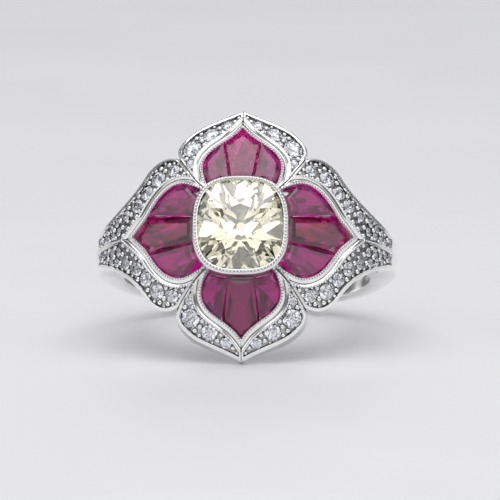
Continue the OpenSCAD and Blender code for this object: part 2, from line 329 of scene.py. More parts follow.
def relief(q):
    """How deep the metal lies under the dome."""
    df = off_field(q)
    part = off_parting(q)
    away = np.abs(part)
    seam = np.where(part > 0, q[:, 0], q[:, 1])
    slopes = (df - RIM_TOP) / (VALLEY - RIM_TOP), (VALLEY_END - df) / (VALLEY_END - VALLEY)
    valley = np.clip(np.minimum(*slopes), 0, 1)
    ends = np.minimum(away - PARTING_HALF + VALLEY_RUN_OUT, off_collet(q) - RIM_TOP)
    valley *= smooth_step(ends, VALLEY_RUN_OUT)
    depth = np.maximum(CHANNEL_D * smooth_step(channel_margin(q), WALL_W), VALLEY_D * valley)
    depth += engraved(df, *BAND_LINE) * (valley > 0)
    depth += engraved(away, *SIDE_LINE) * (df > BAND_W)
    depth += edge_round(off_outline(q), *OUTER_ROUND)
    depth += dip(df - BEDS_END, *BEAD_BED)
    depth += dip(away, *CREASE) * smooth_step(df, FADE_W)
    depth += dip(seam, *SEAM) * smooth_step(df - SEAM_START, FADE_W)
    return depth


# From the plan to the dome. The sheet is the dome unrolled: arc round the finger, then y

# Where the shoulders start and how wide they blend in, in radians round the dome's axis
SHOULDER_START = 0.5
SHOULDER_BLEND = 0.45
# Softens the crease where the underside runs into the finger's relief
FINGER_BLEND = 0.0025


def barrel_r(y):
    return HEAD_R - BOW_R + np.sqrt(BOW_R ** 2 - y ** 2)


def turn_of(p):
    return np.arcsin(np.clip(p[:, 0] / barrel_r(p[:, 1]), -1, 1))


def to_sheet(p):
    return np.stack([HEAD_R * turn_of(p), p[:, 1]], 1)


def from_sheet(p):
    return np.stack([barrel_r(p[:, 1]) * np.sin(p[:, 0] / HEAD_R), p[:, 1]], 1)


def on_dome(p, depth=0.0):
    """Plan points on the dome, moved in towards its axis by depth."""
    a = turn_of(p)
    r = barrel_r(p[:, 1]) - depth
    return np.stack([r * np.sin(a), p[:, 1], HEAD_RISE + r * np.cos(a)], 1)


def under_dome(p, depth):
    """Plan points at a depth: straight below in the petals, along the radius on the shoulders."""
    a = turn_of(p)
    r = barrel_r(p[:, 1]) - depth
    k = smooth_step(np.abs(a) - SHOULDER_START, SHOULDER_BLEND)
    x = p[:, 0] * (1 - k) + r * np.sin(a) * k
    z = HEAD_RISE + np.sqrt(np.maximum(r ** 2 - x ** 2, 0))
    finger = np.sqrt(np.maximum(RELIEF_R ** 2 - x ** 2, 0))
    return np.stack([x, p[:, 1], (z + finger + np.sqrt((z - finger) ** 2 + FINGER_BLEND)) / 2], 1)


def dome_frame(x, y):
    """Point of the dome, its normal, and two directions along it."""
    r = float(barrel_r(y))
    z = sqrt(r * r - x * x)
    n = Vector((x / r, y / sqrt(BOW_R ** 2 - y ** 2), z / r)).normalized()
    u = Vector((z, 0, -x))
    u = (u - n * u.dot(n)).normalized()
    return Vector((x, y, HEAD_RISE + z)), n, u, n.cross(u)


# Meshes

class Solid:
    """Points and faces of a mesh, in mm in the ring's frame."""

    def __init__(self):
        self.verts = []
        self.faces = []

    def add(self, pts, faces):
        start = len(self.verts)
        self.verts += [tuple(map(float, p)) for p in pts]
        self.faces += [tuple(start + int(i) for i in f) for f in faces]

    def loft(self, rings, closed=True, capped=False):
        """Joins rings of equally many points."""
        n = len(rings[0])
        span = n if closed else n - 1
        faces = [(k * n + i, k * n + (i + 1) % n, (k + 1) * n + (i + 1) % n, (k + 1) * n + i)
                 for k in range(len(rings) - 1) for i in range(span)]
        if capped:
            faces += [tuple(range(n))[::-1], tuple((len(rings) - 1) * n + i for i in range(n))]
        self.add(np.vstack(rings), faces)

    def quad(self, *corners):
        self.add(corners, [(0, 1, 2, 3)])

    def mirrored(self):
        whole = Solid()
        for sx, sy in QUARTERS:
            flip = sx * sy < 0
            faces = [f[::-1] if flip else f for f in self.faces]
            whole.add(np.array(self.verts) * (sx, sy, 1), faces)
        return whole

    def bmesh(self, weld=0.0):
        """The mesh. A weld distance joins it up and closes slits of up to 4 edges."""
        bm = bmesh.new()
        vs = [bm.verts.new(v) for v in self.verts]
        for f in self.faces:
            bm.faces.new([vs[i] for i in f])
        if weld:
            bmesh.ops.remove_doubles(bm, verts=bm.verts, dist=weld)
            loose = [v for v in bm.verts if not v.link_faces]
            bmesh.ops.delete(bm, geom=loose, context="VERTS")
            slits = [e for e in bm.edges if e.is_boundary]
            bmesh.ops.holes_fill(bm, edges=slits, sides=4)
        return bm


def new_object(name, data):
    obj = bpy.data.objects.new(name, data)
    scene.collection.objects.link(obj)
    return obj


def piece(name, bm, material, nodes=(), smooth=None):
    """Lays a mesh down as an object of the frame. smooth is the sharpest smooth edge."""
    bmesh.ops.recalc_face_normals(bm, faces=bm.faces)
    mesh = bpy.data.meshes.new(name)
    bm.to_mesh(mesh)
    bm.free()
    mesh.transform(TO_REST)
    if smooth is None:
        mesh.shade_flat()
    else:
        mesh.shade_smooth()
        mesh.set_sharp_from_angle(angle=radians(smooth))
    mesh.materials.append(material)
    obj = new_object(name, mesh)
    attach(obj, "root")
    if nodes:
        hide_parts(*nodes)
    return obj


class Sheet:
    """Lines and points to triangulate on the unrolled dome."""

    def __init__(self):
        self.pts = []
        self.edges = []

    def dots(self, pts):
        self.pts += [tuple(p) for p in pts]

    def line(self, pts, closed=False):
        start = len(self.pts)
        self.dots(pts)
        end = len(self.pts) - 1
        self.edges += [(i, i + 1) for i in range(start, end)]
        if closed:
            self.edges.append((end, start))

    def triangles(self):
        v, _, f, *_ = delaunay_2d_cdt([Vector(p) for p in self.pts], self.edges, [], 0, 1e-6)
        return np.array([tuple(p) for p in v]), np.array([tuple(t) for t in f])


def rim_edges(tris):
    """Edges that only one triangle has, in its direction."""
    edges = [e for t in tris.tolist() for e in zip(t, t[1:] + t[:1])]
    found = set(edges)
    return [(a, b) for a, b in edges if (b, a) not in found]


def stretches(line, keep):
    """The parts of a line whose points are kept."""
    cuts = np.flatnonzero(np.diff(keep.astype(int))) + 1
    parts = zip(np.split(line, cuts), np.split(keep, cuts))
    return [part for part, kept in parts if kept[0] and len(part) > 1]


# The mount's plate: a quarter of the dome's sheet, with its relief, windows and seats

PLATE_END = 10.33
PLATE_REACH = 10.45
END_S = HEAD_R * asin(PLATE_END / HEAD_R)
# How far from the head's lines the relief has its own lines of points
FIELD_STEPS = (0.03, 0.06, 0.1, 0.15, 0.2, 0.23, 0.26, 0.275, 0.31, 0.345, 0.37, 0.395, 0.43, 0.465,
               0.5, 0.54, 0.59, 0.64, 0.675, 0.71)
OUTLINE_STEPS = (0.012, 0.03, 0.055, 0.09, 0.15, 0.22, 0.255, 0.29)
PARTING_STEPS = (0, 0.02, 0.04, 0.06, 0.11, 0.15, 0.19, 0.225, 0.26)
SEAM_STEPS = (0.02, 0.04, 0.09, 0.15, 0.185, 0.22)
NORTH_SEAM = (8.1, 8.7)
EAST_SEAM = (8.2, PLATE_END + 0.1)
PAST_SEAM = 0.12
TOP_GRID = 0.14
GRID_MARGIN = 0.1
UNDER_GRID = 0.4
SEAT_GAP = 0.02
# Largest error of an offset line, and of a point that counts as on a line
OFFSET_SLACK = 0.006
ON_LINE = 0.004
BY_FIELD = 0.01
TINY = 1e-4
# Columns: radius as a part of the stone's, depth as a part of its diameter
SEAT = [(1.0, 0.03), (0.86, 0.12), (0.3, 0.42)]


# Small diamonds of the quarter. Columns: plan x, plan y, diameter
STONES = NORTH_PAVE + [(y, x, d) for x, y, d in EAST_PAVE]
STONES += [(float(barrel_r(across)) * sin(radians(turn)), across, d)
           for across, turn, d in SHOULDER_PAVE]


def circle_on_dome(x, y, r):
    """Plan points of a circle that lies against the dome."""
    p, _, u, v = dome_frame(x, y)
    return np.array([(p + (u * cos(a) + v * sin(a)) * r).xy for a in full_turn(28)])


def on_quarter(p):
    """Whether sheet points are on the quarter's metal or windows, and their plan."""
    plan = from_sheet(p)
    ok = inside(HEAD_AREA, plan) & (p[:, 0] < END_S) & (p[:, 0] > 0) & (p[:, 1] > 0)
    return ok & ~inside(COLLET_CUT_EDGE, plan), plan


def draw_frame(s):
    """The cuts that all the plate's sheets share."""
    s.line(to_sheet(COLLET_CUT_EDGE), closed=True)
    s.line([(END_S, 0), (END_S, 2)])
    s.line([(0, 0), (0, 9.2)])
    s.line([(0, 0), (END_S, 0)])


def draw_outline(s):
    s.line(to_sheet(OUTLINE[OUTLINE[:, 0] < PLATE_REACH]))


def draw_fields(s):
    s.line(to_sheet(FIELD_N))
    s.line(to_sheet(FIELD_E))


def field_lines(step):
    """Each field's line, its outward normals and its side: 1 north, -1 east."""
    for line, side in ((FIELD_N_LONG, 1), (FIELD_E_LONG, -1)):
        fine = even(line, step)
        yield fine, side * left_normals(fine), side


def beside_field(p, side, past_seam, gap):
    """Plan points on a field's own side of the seam and the parting, off the collet."""
    along = p[:, 0] if side > 0 else p[:, 1]
    ok = (along > -past_seam) & (off_parting(p) * side > gap)
    return ok & ~inside(COLLET_AREA, p)


def clean_offset(line, out, d, distance, keep, slack):
    """The stretches of a line's offset that really are that far from it."""
    moved = line + out * d
    return stretches(moved, keep(moved) & (np.abs(distance(np.abs(moved)) - d) < slack))


def draw_offsets(s, line, out, steps, distance, keep, slack=OFFSET_SLACK):
    for d in steps:
        for part in clean_offset(line, out, d, distance, keep, slack):
            s.line(to_sheet(part))


def grid_dots(step):
    """Loose points over the quarter's metal and windows, with their plan."""
    grid = plan_grid(np.arange(step / 2, END_S, step), np.arange(step / 2, REACH, step))
    ok, plan = on_quarter(grid)
    return grid[ok], plan[ok]


def top_sheet():
    """The triangles of all that is seen from above."""
    s = Sheet()
    draw_frame(s)
    draw_outline(s)
    draw_fields(s)
    for line, out, side in field_lines(STEP):
        draw_offsets(s, line, out, FIELD_STEPS, off_field,
                     lambda p: beside_field(p, side, PAST_SEAM, 0))
    draw_offsets(s, OUTLINE, -left_normals(OUTLINE), OUTLINE_STEPS, off_outline,
                 lambda p: p[:, 0] < PLATE_REACH, ON_LINE)
    for side in (1, -1):
        draw_offsets(s, PART_LINE, side * left_normals(PART_LINE), PARTING_STEPS,
                     lambda p: np.abs(off_parting(p)),
                     lambda p: ((off_field(p) > 0.02) & inside(HEAD_AREA, p)
                                & ~inside(COLLET_AREA, p)))
    for d in SEAM_STEPS:
        s.line(to_sheet(even(np.array([[d, y] for y in NORTH_SEAM]), STEP)))
        s.line(to_sheet(even(np.array([[x, d] for x in EAST_SEAM]), STEP)))
    for x, y, d in STONES:
        s.line(to_sheet(circle_on_dome(x, y, d / 2 + SEAT_GAP)), closed=True)
        s.dots(to_sheet(circle_on_dome(x, y, d / 2 + 3 * SEAT_GAP)))
    grid, plan = grid_dots(TOP_GRID)
    df = off_field(plan)
    s.dots(grid[(df > BAND_W + GRID_MARGIN) | (df < -3 * GRID_MARGIN)])
    return s.triangles()


def seat_of(plan):
    """Index of the seat that each plan point is in, or -1."""
    found = np.full(len(plan), -1)
    for i, (x, y, d) in enumerate(STONES):
        found[inside(circle_on_dome(x, y, d / 2 + SEAT_GAP), plan)] = i
    return found


def petal_field(petal):
    """The outline of a petal's rubies, and how far along it the collet is."""
    return (NORTH_FIELD, COLLET[1]) if petal in ("north", "south") else (EAST_FIELD, COLLET[0])


def ruby_hole(petal, place):
    """The opening under a ruby of the first quarter, inside its ledge."""
    rows, reach = petal_field(petal)
    if place == 0:
        half = rows[:FIELD_SPLIT + 1] + [(SPLIT_IN, reach)]
        half = half + [(-a, b) for a, b in half[::-1] if a > 0]
    else:
        half = rows[FIELD_SPLIT:-1] + [(a, b * reach) for a, b in SIDE_FOOT] + [(SPLIT_IN, reach)]
    p = np.array(half, float)
    p = p if petal == "north" else p[:, ::-1]
    return inset(p if turns_left(p) else p[::-1], LEDGE_W)


def seat_edges(tris, seat):
    """The seats' edges, as the metal beside them runs along them, with the seats' indices."""
    return {(b, a): k for t, k in zip(tris.tolist(), seat.tolist()) if k >= 0
            for a, b in zip(t, t[1:] + t[:1])}


def seat_strip(edge, stone):
    """The part of a stone's cup below one edge of its rim."""
    x, y, d = stone
    p, n, _, _ = dome_frame(x, y)
    rings = [edge]
    for k, depth in SEAT:
        ring = []
        for c in edge:
            away = Vector(c) - p
            away = (away - n * away.dot(n)).normalized()
            ring.append(p + away * (d / 2 + SEAT_GAP) * k - n * (PAVE_SINK + depth * d))
        rings.append(ring)
    pts = [q for ring in rings for q in ring] + [p - n * (PAVE_SINK + SEAT[-1][1] * d)]
    faces = [(2 * i + 1, 2 * i, 2 * i + 2, 2 * i + 3) for i in range(len(SEAT))]
    return pts, faces + [(2 * len(SEAT) + 1, 2 * len(SEAT), 2 * len(SEAT) + 2)]


def lower_sheet(pts, edges, holes, draw, dots=()):
    """A face with openings under the rubies: plan points, triangles, their middles."""
    s = Sheet()
    draw_frame(s)
    draw(s)
    for a, b in edges:
        s.line(pts[[a, b]])
    for h in holes:
        s.line(to_sheet(dense(h)), closed=True)
    s.dots(dots)
    p, tris = s.triangles()
    ok, mid = on_quarter(p[tris].mean(1))
    for h in holes:
        ok &= ~inside(h, mid)
    return from_sheet(p), tris[ok], mid[ok]


def underside(solid, pts, edges, holes):
    plan, tris, _ = lower_sheet(pts, edges, holes, draw_outline, grid_dots(UNDER_GRID)[0])
    solid.add(under_dome(plan, PLATE_T), tris[:, ::-1])


def ledges(solid, pts, edges, holes):
    """The rubies' ledges, with the walls from them down to the underside."""
    plan, tris, mid = lower_sheet(pts, edges, holes, draw_fields)
    tris = tris[off_field(mid) < 0]
    floor, below = under_dome(plan, LEDGE_T), under_dome(plan, PLATE_T)
    solid.add(floor, tris)
    rings = holes + [COLLET_CUT_EDGE]
    for a, b in rim_edges(tris):
        mid = (plan[[a]] + plan[[b]]) / 2
        if min(off_ring(ring, mid)[0] for ring in rings) < ON_LINE:
            solid.quad(floor[b], floor[a], below[a], below[b])


def plate():
    """A quarter of the head's plate and shank, mirrored to the whole."""
    pts, tris = top_sheet()
    plan = from_sheet(pts)
    ok, mid = on_quarter(pts[tris].mean(1))
    seat = seat_of(mid)
    top = tris[ok & (off_field(mid) > 0) & (seat < 0)]
    upper = on_dome(plan, relief(np.abs(plan)))
    ledge, below = under_dome(plan, LEDGE_T), under_dome(plan, PLATE_T)
    solid = Solid()
    solid.add(upper, top)
    seats = seat_edges(tris, seat)
    windows, walls, ends = [], [], []
    for a, b in rim_edges(top):
        low, high = np.minimum(pts[a], pts[b]), np.maximum(pts[a], pts[b])
        if (a, b) in seats:
            solid.add(*seat_strip(upper[[a, b]], STONES[seats[(a, b)]]))
        elif high[0] < TINY or high[1] < TINY:
            continue
        elif low[0] > END_S - TINY:
            ends.append((a, b))
        elif abs(off_field((plan[[a]] + plan[[b]]) / 2)[0]) < BY_FIELD:
            windows.append((a, b))
        else:
            walls.append((a, b))
    for edges, floor in ((windows, ledge), (walls, below)):
        for a, b in edges:
            solid.quad(upper[b], upper[a], floor[a], floor[b])
    holes = [ruby_hole(petal, place) for petal in ("north", "east") for place in (0, 1)]
    underside(solid, pts, walls + ends, holes)
    ledges(solid, pts, windows, holes)
    shank(solid, pts, upper, below, ends)
    return solid.mirrored()


# The shank: the band from the plate's end round to the back

SHANK_STEPS = 46
# Part of the way to the back in which the shoulder narrows
TAPER = 0.3
CROWN = 0.05
OUTSIDE_ROUND = (0.2, 0.16)
INSIDE_ROUND = (0.12, 0.08)
# Degrees from the head's top where the finger's relief runs out, and over how many
RELIEF_END = 72
RELIEF_RUN_OUT = 12


def band_outer(a):
    """The band's outer radius at an angle from the head's top: the dome, then the shank."""
    head = HEAD_RISE * cos(a) + sqrt(HEAD_R ** 2 - (HEAD_RISE * sin(a)) ** 2)
    soft = 0.12
    return soft * log(exp(head / soft) + exp(SHANK_R / soft))


def shank(solid, pts, upper, lower, end_edges):
    """The quarter's band, lofted from the plate's cut end to the middle of the back."""
    ids = sorted({i for e in end_edges for i in e}, key=lambda i: pts[i][1])
    end_half = pts[ids[-1], 1]
    share = pts[ids, 1] / end_half
    start_top, start_low = upper[ids], lower[ids]
    top_a = atan2(*start_top[0][::2])
    low_a = atan2(*start_low[0][::2])
    low_r = hypot(*start_low[0][::2])
    rings = [(start_top, start_low)]
    for k in np.linspace(0, 1, SHANK_STEPS)[1:]:
        half = SHANK_HALF + (end_half - SHANK_HALF) * (1 - float(smooth_step(k, TAPER)))
        y = share * half
        a = top_a + (pi - top_a) * k
        b = low_a + (pi - low_a) * k
        outer = band_outer(a) - edge_round(half - y, *OUTSIDE_ROUND) - CROWN * (y / half) ** 2
        thin = float(smooth_step(degrees(b) - RELIEF_END, RELIEF_RUN_OUT))
        inner = low_r * (1 - thin) + HOLE_R * thin + edge_round(half - y, *INSIDE_ROUND)
        rings.append((np.stack([outer * sin(a), y, outer * cos(a)], 1),
                      np.stack([inner * sin(b), y, inner * cos(b)], 1)))
    for (t0, l0), (t1, l1) in zip(rings, rings[1:]):
        solid.loft([t0, t1], closed=False)
        solid.loft([l1, l0], closed=False)
        solid.quad(t0[-1], t1[-1], l1[-1], l0[-1])


# The finger rails with the seat under the collet, and the collet

RAIL_END = radians(87)
RAIL_STEP = 0.35
GALLERY_STEP = 0.3


def gallery():
    """A band around the finger that widens to a disc under the collet, with a throat."""
    mean_r = (HOLE_R + RAIL_R) / 2
    end = mean_r * RAIL_END

    def unroll(p):
        return np.stack([mean_r * np.arcsin(p[:, 0] / mean_r), p[:, 1]], 1)

    disc = unroll(COLLET[0] * unit_circle(96))
    hole = unroll(cushion(DIAMOND_ROOM * THROAT, 96))
    strip = np.array([[-1, -1], [1, -1], [1, 1], [-1, 1]]) * (end, SHANK_HALF)
    s = Sheet()
    for d in (0, 0.03, 0.09):
        s.line(dense(inset(strip, d), RAIL_STEP), closed=True)
    s.line(disc, closed=True)
    s.line(hole, closed=True)
    grid = plan_grid(np.arange(-end, end, GALLERY_STEP), np.arange(-3.3, 3.4, GALLERY_STEP))
    s.dots(grid[inside(disc, grid) | inside(strip, grid)])
    p, tris = s.triangles()
    mid = p[tris].mean(1)
    tris = tris[(inside(disc, mid) | inside(strip, mid)) & ~inside(hole, mid)]
    low, high = (np.stack([r * np.sin(p[:, 0] / mean_r), p[:, 1], r * np.cos(p[:, 0] / mean_r)], 1)
                 for r in (HOLE_R + 0.02, RAIL_R))
    solid = Solid()
    solid.add(high, tris)
    solid.add(low, tris[:, ::-1])
    for a, b in rim_edges(tris):
        solid.quad(high[b], high[a], low[a], low[b])
    return solid


# Columns: distance in from the collet's outer face, height from its top
COLLET_LIP = [(0, -0.8), (0, -0.36), (0.02, -0.27), (0.06, -0.19), (0.12, -0.13), (0.16, -0.12),
              (0.3, -0.12), (0.35, -0.13), (0.37, -0.16), (0.36, -0.19), (0.33, -0.22), (0.28, -0.26)]
COLLET_FOOT = HOLE_R + 0.5
LIP_D = 0.12


def collet():
    n = 192
    throat = cushion(DIAMOND_ROOM * THROAT, n)
    rows = [(cushion(COLLET, n), COLLET_FOOT)]
    rows += [(cushion(COLLET, n, -d), COLLET_TOP + z) for d, z in COLLET_LIP]
    rows += [(cushion(COLLET, n, -COLLET_WALL), ROOM_FLOOR), (throat, ROOM_FLOOR),
             (throat, COLLET_FOOT)]
    rings = [np.c_[plan, np.full(n, z)] for plan, z in rows]
    solid = Solid()
    solid.loft(rings + rings[:1])
    return solid


# Beads

def bead_shape(sides=8, rings=3):
    """A unit ball with few faces."""
    turn = 2 * pi / sides
    pts = [(0, 0, -1)]
    for t in (pi * j / (rings + 1) for j in range(1, rings + 1)):
        pts += [(sin(t) * cos(turn * i), sin(t) * sin(turn * i), -cos(t))
                for i in range(sides)]
    pts.append((0, 0, 1))
    pairs = [(i, (i + 1) % sides) for i in range(sides)]
    faces = [(0, 1 + b, 1 + a) for a, b in pairs]
    for low in range(1, 1 + (rings - 1) * sides, sides):
        high = low + sides
        faces += [(low + a, low + b, high + b, high + a) for a, b in pairs]
    faces += [(high + a, high + b, len(pts) - 1) for a, b in pairs]
    return np.array(pts), faces


BEAD_PTS, BEAD_FACES = bead_shape()
# A bead's half height as a part of its width
BEAD_RISE = 0.42


def add_bead(solid, p, n, u, v, r, high):
    """A bead at p with radius r along u and v, and half height high."""
    x, y, z = BEAD_PTS.T[:, :, None]
    pts = np.array(p) + r * x * np.array(u) + r * y * np.array(v) + high * z * np.array(n)
    solid.add(pts, BEAD_FACES)


def bead_row(solid, line, size, pitch, depth, wanted=None):
    """Beads spaced evenly along a plan line on the dome."""
    fine = even(line, 0.02)
    run = run_along(on_dome(fine))
    n = max(1, int(run[-1] / pitch))
    at = (np.arange(n) + 0.5) * run[-1] / n
    spots = np.stack([np.interp(at, run, fine[:, i]) for i in range(2)], 1)
    if wanted:
        spots = spots[wanted(spots)]
    for x, y in spots:
        p, normal, u, v = dome_frame(x, y)
        add_bead(solid, p - normal * depth, normal, u, v, size / 2, size * BEAD_RISE)


def offset_row(line, out, d, distance, keep):
    """The longest clean stretch of a line's offset."""
    return max(clean_offset(line, out, d, distance, keep, 0.02), key=len)


# Columns: distance from the rubies or the outline; size, pitch and depth of the beads' middles
BEAD_ROWS = {"beads_of_ruby_rims": (0.08, 0.17, 0.205, -0.01),
             "beads_of_lines": (0.6, 0.16, 0.21, -0.01),
             "beads_of_outer_rims": (0.11, 0.12, 0.17, 0.035)}
FINE_STEP = 0.03
OFF_PARTING = 0.05


def milgrain():
    """Rows of fine beads along the rims, as {name: solid}."""
    rim = even(OUTLINE, FINE_STEP)
    rows = {}
    for name, (d, *bead) in BEAD_ROWS.items():
        s = Solid()
        if name == "beads_of_outer_rims":
            row = offset_row(rim, -left_normals(rim), d, off_outline,
                             lambda p: (p[:, 0] > 0) & (p[:, 0] < CHANNEL_END))
            bead_row(s, row, *bead, lambda p: np.abs(off_parting(p)) > 2 * OFF_PARTING)
        else:
            for line, out, side in field_lines(FINE_STEP):
                row = offset_row(line, out, d, off_field,
                                 lambda p: beside_field(p, side, 0, OFF_PARTING))
                bead_row(s, row, *bead)
        rows[name] = s.mirrored()
    return rows


def shoulder_beads():
    start, size, pitch, depth = 8.45, 0.15, 0.17, 0.02
    s = Solid()
    for side in (1, -1):
        bead_row(s, np.array([[start, 0.0], [CHANNEL_END, 0.0]]) * side, size, pitch, depth)
    return s


def collet_beads():
    """Short ridges across the collet's lip."""
    inwards, pitch, half_width, rise, longer = 0.2, 0.235, 0.08, 0.14, 1.8
    ring = cushion(COLLET, 720, -inwards)
    line = even(np.vstack([ring, ring[:1]]), pitch)[:-1]
    s = Solid()
    for (x, y), (a, b) in zip(line, left_normals(line)):
        spot = (x, y, COLLET_TOP - LIP_D)
        add_bead(s, spot, (0, 0, 1), (a * longer, b * longer, 0), (-b, a, 0), half_width, rise)
    return s


GRAIN_STEP = 0.045
GRAIN_START = 0.2
GRAIN_MAX = 0.2
GRAIN_MIN = 0.115
# A grain's middle stays off its channel's wall; its edge may reach into the wall or a stone
OFF_WALL = 0.02
INTO_WALL = 0.05
UNDER_STONE = 0.02
# Least distance between grains as a part of their radii, in the petals and past their tips
GRAIN_SPREAD = 1.15
SHOULDER_SPREAD = 1.6
SHOULDER_X = 7.6
GRAIN_SINK = 0.17
GRAIN_RISE = 0.06


def grain_spots():
    """Pockets between the small diamonds and their channel's walls: plan x, y and radius."""
    rows = np.array(STONES)
    grid = plan_grid(*(np.arange(GRAIN_START, end, GRAIN_STEP) for end in (CHANNEL_END, REACH)))
    grid = grid[inside(HEAD_AREA, grid)]
    margin = channel_margin(grid)
    clear = margin > OFF_WALL
    grid, margin = grid[clear], margin[clear]
    where = on_dome(grid)
    room = np.minimum(margin + INTO_WALL, GRAIN_MAX)
    for d, c in zip(rows[:, 2], on_dome(rows[:, :2])):
        room = np.minimum(room, np.linalg.norm(where - c, axis=1) - d / 2 + UNDER_STONE)
    kept = []
    for i in np.argsort(-room, kind="stable"):
        if room[i] < GRAIN_MIN:
            break
        spread = GRAIN_SPREAD if grid[i, 0] < SHOULDER_X else SHOULDER_SPREAD
        if all(np.linalg.norm(where[i] - where[k]) > spread * (room[i] + room[k]) for k in kept):
            kept.append(i)
    return [(*grid[i], room[i]) for i in kept]


def grains():
    s = Solid()
    for x, y, size in grain_spots():
        p, n, u, v = dome_frame(x, y)
        add_bead(s, p - n * GRAIN_SINK, n, u, v, size, GRAIN_RISE + size / 2)
    return s.mirrored()


# Cut stones

def slice_off(bm, point, normal):
    """Cuts away what is past a plane and closes the cut with a facet."""
    geom = bm.verts[:] + bm.edges[:] + bm.faces[:]
    cut = bmesh.ops.bisect_plane(bm, geom=geom, dist=1e-5, plane_co=point, plane_no=normal,
                                 clear_outer=True)
    edges = [g for g in cut["geom_cut"] if isinstance(g, bmesh.types.BMEdge)]
    if len(edges) > 2:
        bmesh.ops.edgeloop_fill(bm, edges=edges)


def through(a, b, c, outward):
    """The plane through three points: one of them, and the outward normal."""
    n = (b - a).cross(c - a).normalized()
    return a, n if n.dot(outward) > 0 else -n


def brilliant(outline, table_r, crown, girdle, depth, star=0.55, lower=0.72, culet=0.04):
    """A brilliant with 8 mains, stars and halves; its girdle's mid-height is at z = 0."""
    bm = bmesh.new()
    n = len(outline)
    top = [bm.verts.new((x, y, crown * 1.5)) for x, y in outline]
    low = [bm.verts.new((x, y, -depth * 1.5)) for x, y in outline]
    bm.faces.new(top)
    bm.faces.new(low[::-1])
    for i in range(n):
        bm.faces.new([low[i], low[(i + 1) % n], top[(i + 1) % n], top[i]])
    way, half_way = ([Vector((cos(a), sin(a), 0)) for a in np.arange(8) * pi / 4 + start]
                     for start in (0, pi / 8))

    def support(d):
        return max(x * d.x + y * d.y for x, y in outline)

    def girdle_point(d, z):
        best = max(outline, key=lambda p: (p[0] * d.x + p[1] * d.y) / hypot(*p))
        return Vector((*best, z))

    def meet(i, rise, slope):
        """Where mains i and i + 1 meet, at a height above or below the girdle."""
        j = (i + 1) % 8
        a, b = (support(way[k]) - rise / slope[k] for k in (i, j))
        det = way[i].x * way[j].y - way[i].y * way[j].x
        return Vector(((a * way[j].y - b * way[i].y) / det, (way[i].x * b - way[j].x * a) / det, 0))

    up = Vector((0, 0, 1))
    for sign, peak, end, share in ((1, crown, table_r, star), (-1, depth, culet, lower)):
        slope = [(peak - girdle) / (support(w) - end) for w in way]
        rise = (peak - girdle) * share
        for w, k in zip(way, slope):
            normal = Vector((w.x * k, w.y * k, sign)).normalized()
            slice_off(bm, w * support(w) + up * sign * girdle, normal)
        for i in range(8):
            j = (i + 1) % 8
            tip = meet(i, rise, slope) + up * sign * (girdle + rise)
            mid = girdle_point(half_way[i], sign * girdle)
            for k in (i, j):
                slice_off(bm, *through(tip, girdle_point(way[k], sign * girdle), mid, half_way[i]))
            if sign > 0:
                slice_off(bm, *through(tip, way[i] * end + up * peak, way[j] * end + up * peak, up))
    slice_off(bm, up * crown, up)
    slice_off(bm, up * -depth * 0.985, -up)
    return bm


def pave_stones(rows, sides):
    """A quarter's small diamonds on the given quarters, from one cut of diameter 1."""
    cut = brilliant(unit_circle(32) / 2, table_r=0.25, crown=0.17, girdle=0.012, depth=0.43)
    cut.verts.index_update()
    shape = [v.co.copy() for v in cut.verts]
    faces = [[v.index for v in f.verts] for f in cut.faces]
    cut.free()
    solid = Solid()
    for side_x, side_y in sides:
        for i, (x, y, d) in enumerate(rows):
            p, n, u, v = dome_frame(x, y)
            twist = Matrix.Rotation(1.7 * i + 0.3 * side_x, 3, "Z")
            turned = [twist @ c for c in shape]
            moved = [p + (u * c.x + v * c.y + n * c.z) * d - n * PAVE_SINK for c in turned]
            solid.add([(q.x * side_x, q.y * side_y, q.z) for q in moved], faces)
    return solid


def ruby_outline(petal, place):
    """A ruby's outline across and along its petal, its corners' indices, its borders' widths."""
    rows, reach = petal_field(petal)
    foot = [(SPLIT_IN, reach)]
    if place == 0:
        right = curve(rows, RUBY_STEP, 0, FIELD_SPLIT)
        left = right[::-1] * (-1, 1)
        n = len(right)
        line = np.vstack([right, foot, [(-SPLIT_IN, reach)], left[:-1]])
        return line, [0, n - 1, n, n + 1, n + 2], [0.46, 0.5, 0.4, 0.5, 0.46]
    outer = curve(rows, RUBY_STEP, FIELD_SPLIT, len(rows) - 2)
    n = len(outer)
    line = np.vstack([outer, [(a, b * reach) for a, b in SIDE_FOOT], foot])
    third = (n - 1) // 3
    return line, [0, third, 2 * third, n - 1, n, n + 2], [0.36, 0.34, 0.34, 0.34, 0.38, 0.5]


def to_plan(petal, p):
    """A petal's own across and along turned to plan x and y."""
    x, y = p[:, 0], p[:, 1]
    return np.stack({"north": (x, y), "south": (-x, -y), "east": (y, -x), "west": (-y, x)}[petal], 1)


RUBY_STEP = 0.2
# Columns: size against the girdle, height from it
RUBY_BACK = [(0.06, -0.85), (0.42, -0.66), (0.74, -0.4), (1, -0.06), (1, 0)]
# Columns: share of the way from the girdle to the table, height
RUBY_STEPS = [(0.42, 0.14), (1, 0.24)]


